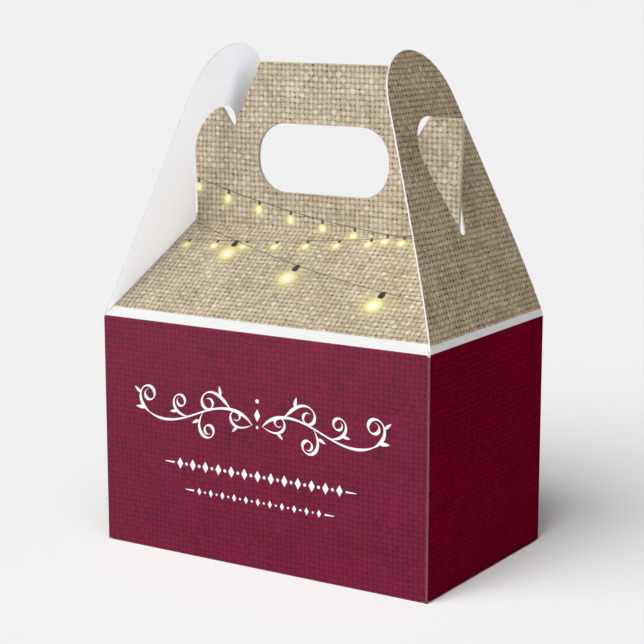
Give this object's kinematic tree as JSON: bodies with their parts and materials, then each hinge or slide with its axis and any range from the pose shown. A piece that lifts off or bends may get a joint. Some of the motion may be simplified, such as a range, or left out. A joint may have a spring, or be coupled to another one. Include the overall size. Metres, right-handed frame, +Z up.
{
  "type": "gable favour box",
  "caption": "Gable favour box of folded card, with a hand-hole handle whose ears are locked by the tall end flaps.",
  "frame": {"origin": "middle of the base, on the surface that the box stands on", "axes": "+X along the box's width, to the right as seen from the front; the front wall faces -Y; +Z up"},
  "size_m": [0.1016, 0.0636, 0.1355],
  "materials": {
    "berry_print": "matt print of berry woven cloth on white board",
    "burlap_print": "matt print of natural burlap on white board",
    "white_card": "plain matt white board",
    "dried_glue": "dried clear adhesive"
  },
  "bodies": {
    "box": {"front_wall": "berry_print", "back_wall": "berry_print", "left_wall": "berry_print", "right_wall": "berry_print", "glue_flap": "white_card", "seam_glue": "dried_glue", "base_front_flap": "white_card", "base_back_flap": "white_card", "base_left_flap": "white_card", "base_right_flap": "white_card"},
    "right_flap": {"right_end_flap": "burlap_print"},
    "left_flap": {"left_end_flap": "burlap_print"},
    "front_roof_panel": {"front_roof": "burlap_print"},
    "back_roof_panel": {"back_roof": "burlap_print"},
    "front_handle_panel": {"front_handle": "burlap_print"},
    "back_handle_panel": {"back_handle": "burlap_print"}
  },
  "joints": [
    {"name": "right_flap_crease", "type": "hinge", "parent": "box", "child": "right_flap", "pos_m": [0.0508, 0, 0.0635], "axis": [0, 1, 0], "range_deg": [0, 150]},
    {"name": "left_flap_crease", "type": "hinge", "parent": "box", "child": "left_flap", "pos_m": [-0.0508, 0, 0.0635], "axis": [0, -1, 0], "range_deg": [0, 150]},
    {"name": "front_roof_crease", "type": "hinge", "parent": "box", "child": "front_roof_panel", "pos_m": [0, -0.03175, 0.0635], "axis": [1, 0, 0], "range_deg": [0, 60]},
    {"name": "back_roof_crease", "type": "hinge", "parent": "box", "child": "back_roof_panel", "pos_m": [0, 0.03175, 0.0635], "axis": [-1, 0, 0], "range_deg": [0, 60]},
    {"name": "front_handle_crease", "type": "hinge", "parent": "front_roof_panel", "child": "front_handle_panel", "pos_m": [0, -0.00015, 0.086], "axis": [-1, 0, 0], "range_deg": [0, 45]},
    {"name": "back_handle_crease", "type": "hinge", "parent": "back_roof_panel", "child": "back_handle_panel", "pos_m": [0, 0.00015, 0.086], "axis": [1, 0, 0], "range_deg": [0, 45]}
  ],
  "couplings": [
    {"joint": "left_flap_crease", "follows": "right_flap_crease", "ratio": 1},
    {"joint": "front_roof_crease", "follows": "right_flap_crease", "ratio": 0.4},
    {"joint": "back_roof_crease", "follows": "right_flap_crease", "ratio": 0.4},
    {"joint": "front_handle_crease", "follows": "right_flap_crease", "ratio": 0.3},
    {"joint": "back_handle_crease", "follows": "right_flap_crease", "ratio": 0.3}
  ]
}
